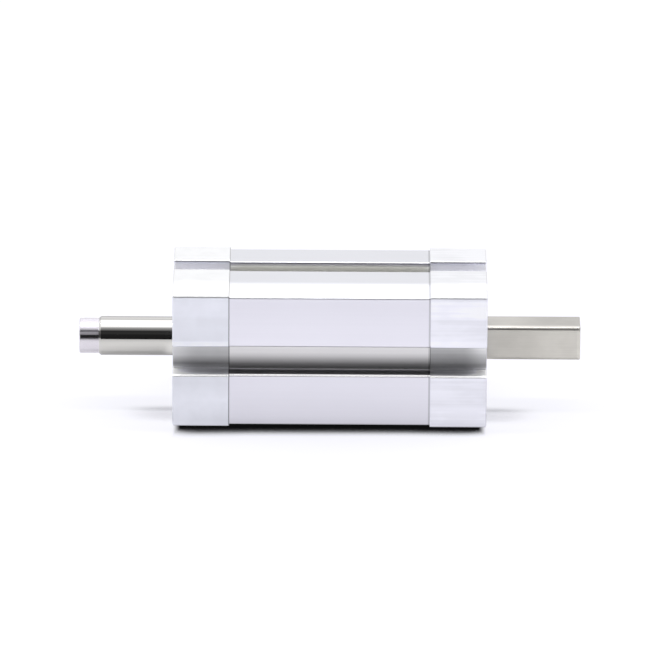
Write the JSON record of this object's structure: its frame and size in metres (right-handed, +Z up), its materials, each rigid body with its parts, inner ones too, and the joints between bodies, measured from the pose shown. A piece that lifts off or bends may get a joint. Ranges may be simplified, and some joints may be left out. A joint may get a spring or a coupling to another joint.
{
  "type": "double rod pneumatic cylinder",
  "caption": "Compact pneumatic cylinder with a through rod: round rod at one end, square anti-turn rod at the other, switch channels on three sides, ports at the back.",
  "frame": {"origin": "on the rod axis, midway between the two end caps, with the piston at mid stroke", "axes": "+X along the rods towards the square rod, -Y towards the front with the centred channel, +Y towards the ports, +Z up; it rests on the caps' lower faces"},
  "size_m": [0.1282, 0.0356, 0.0356],
  "materials": {
    "barrel_anodised": "fine satin, clear anodised extrusion",
    "left_cap_anodised": "matte, clear anodised",
    "right_cap_anodised": "satin with fine lines along X, clear anodised",
    "rod_chrome": "polished hard chrome",
    "rod_ground_steel": "ground along its length",
    "screw_steel": "zinc plated",
    "washer_steel": "plain stamped",
    "bush_bronze": "sintered bronze",
    "seal_rubber": "smooth",
    "bumper_rubber": "smooth polyurethane",
    "piston_aluminium": "turned",
    "magnet_black": "plastic-bonded magnet",
    "guide_ring_plastic": "bearing plastic"
  },
  "bodies": {
    "housing": {"barrel": "barrel_anodised", "left_cap": "left_cap_anodised", "right_cap": "right_cap_anodised", "left_cap_o_ring": "seal_rubber", "right_cap_o_ring": "seal_rubber", "left_cap_screws": "screw_steel", "right_cap_screws": "screw_steel", "left_guide_bush": "bush_bronze", "right_guide_bush": "bush_bronze", "left_rod_seal": "seal_rubber", "right_rod_seal": "seal_rubber", "left_seal_washer": "washer_steel", "right_seal_washer": "washer_steel", "left_bumper": "bumper_rubber", "right_bumper": "bumper_rubber"},
    "rod_assembly": {"round_rod": "rod_chrome", "square_rod": "rod_ground_steel", "left_piston_half": "piston_aluminium", "right_piston_half": "piston_aluminium", "left_piston_seal": "seal_rubber", "right_piston_seal": "seal_rubber", "magnet_ring": "magnet_black", "piston_guide_ring": "guide_ring_plastic", "stud_o_ring": "seal_rubber"}
  },
  "joints": [
    {"name": "rod_slide", "type": "slide", "parent": "housing", "child": "rod_assembly", "axis": [1, 0, 0], "range_m": [-0.0175, 0.0175]}
  ]
}
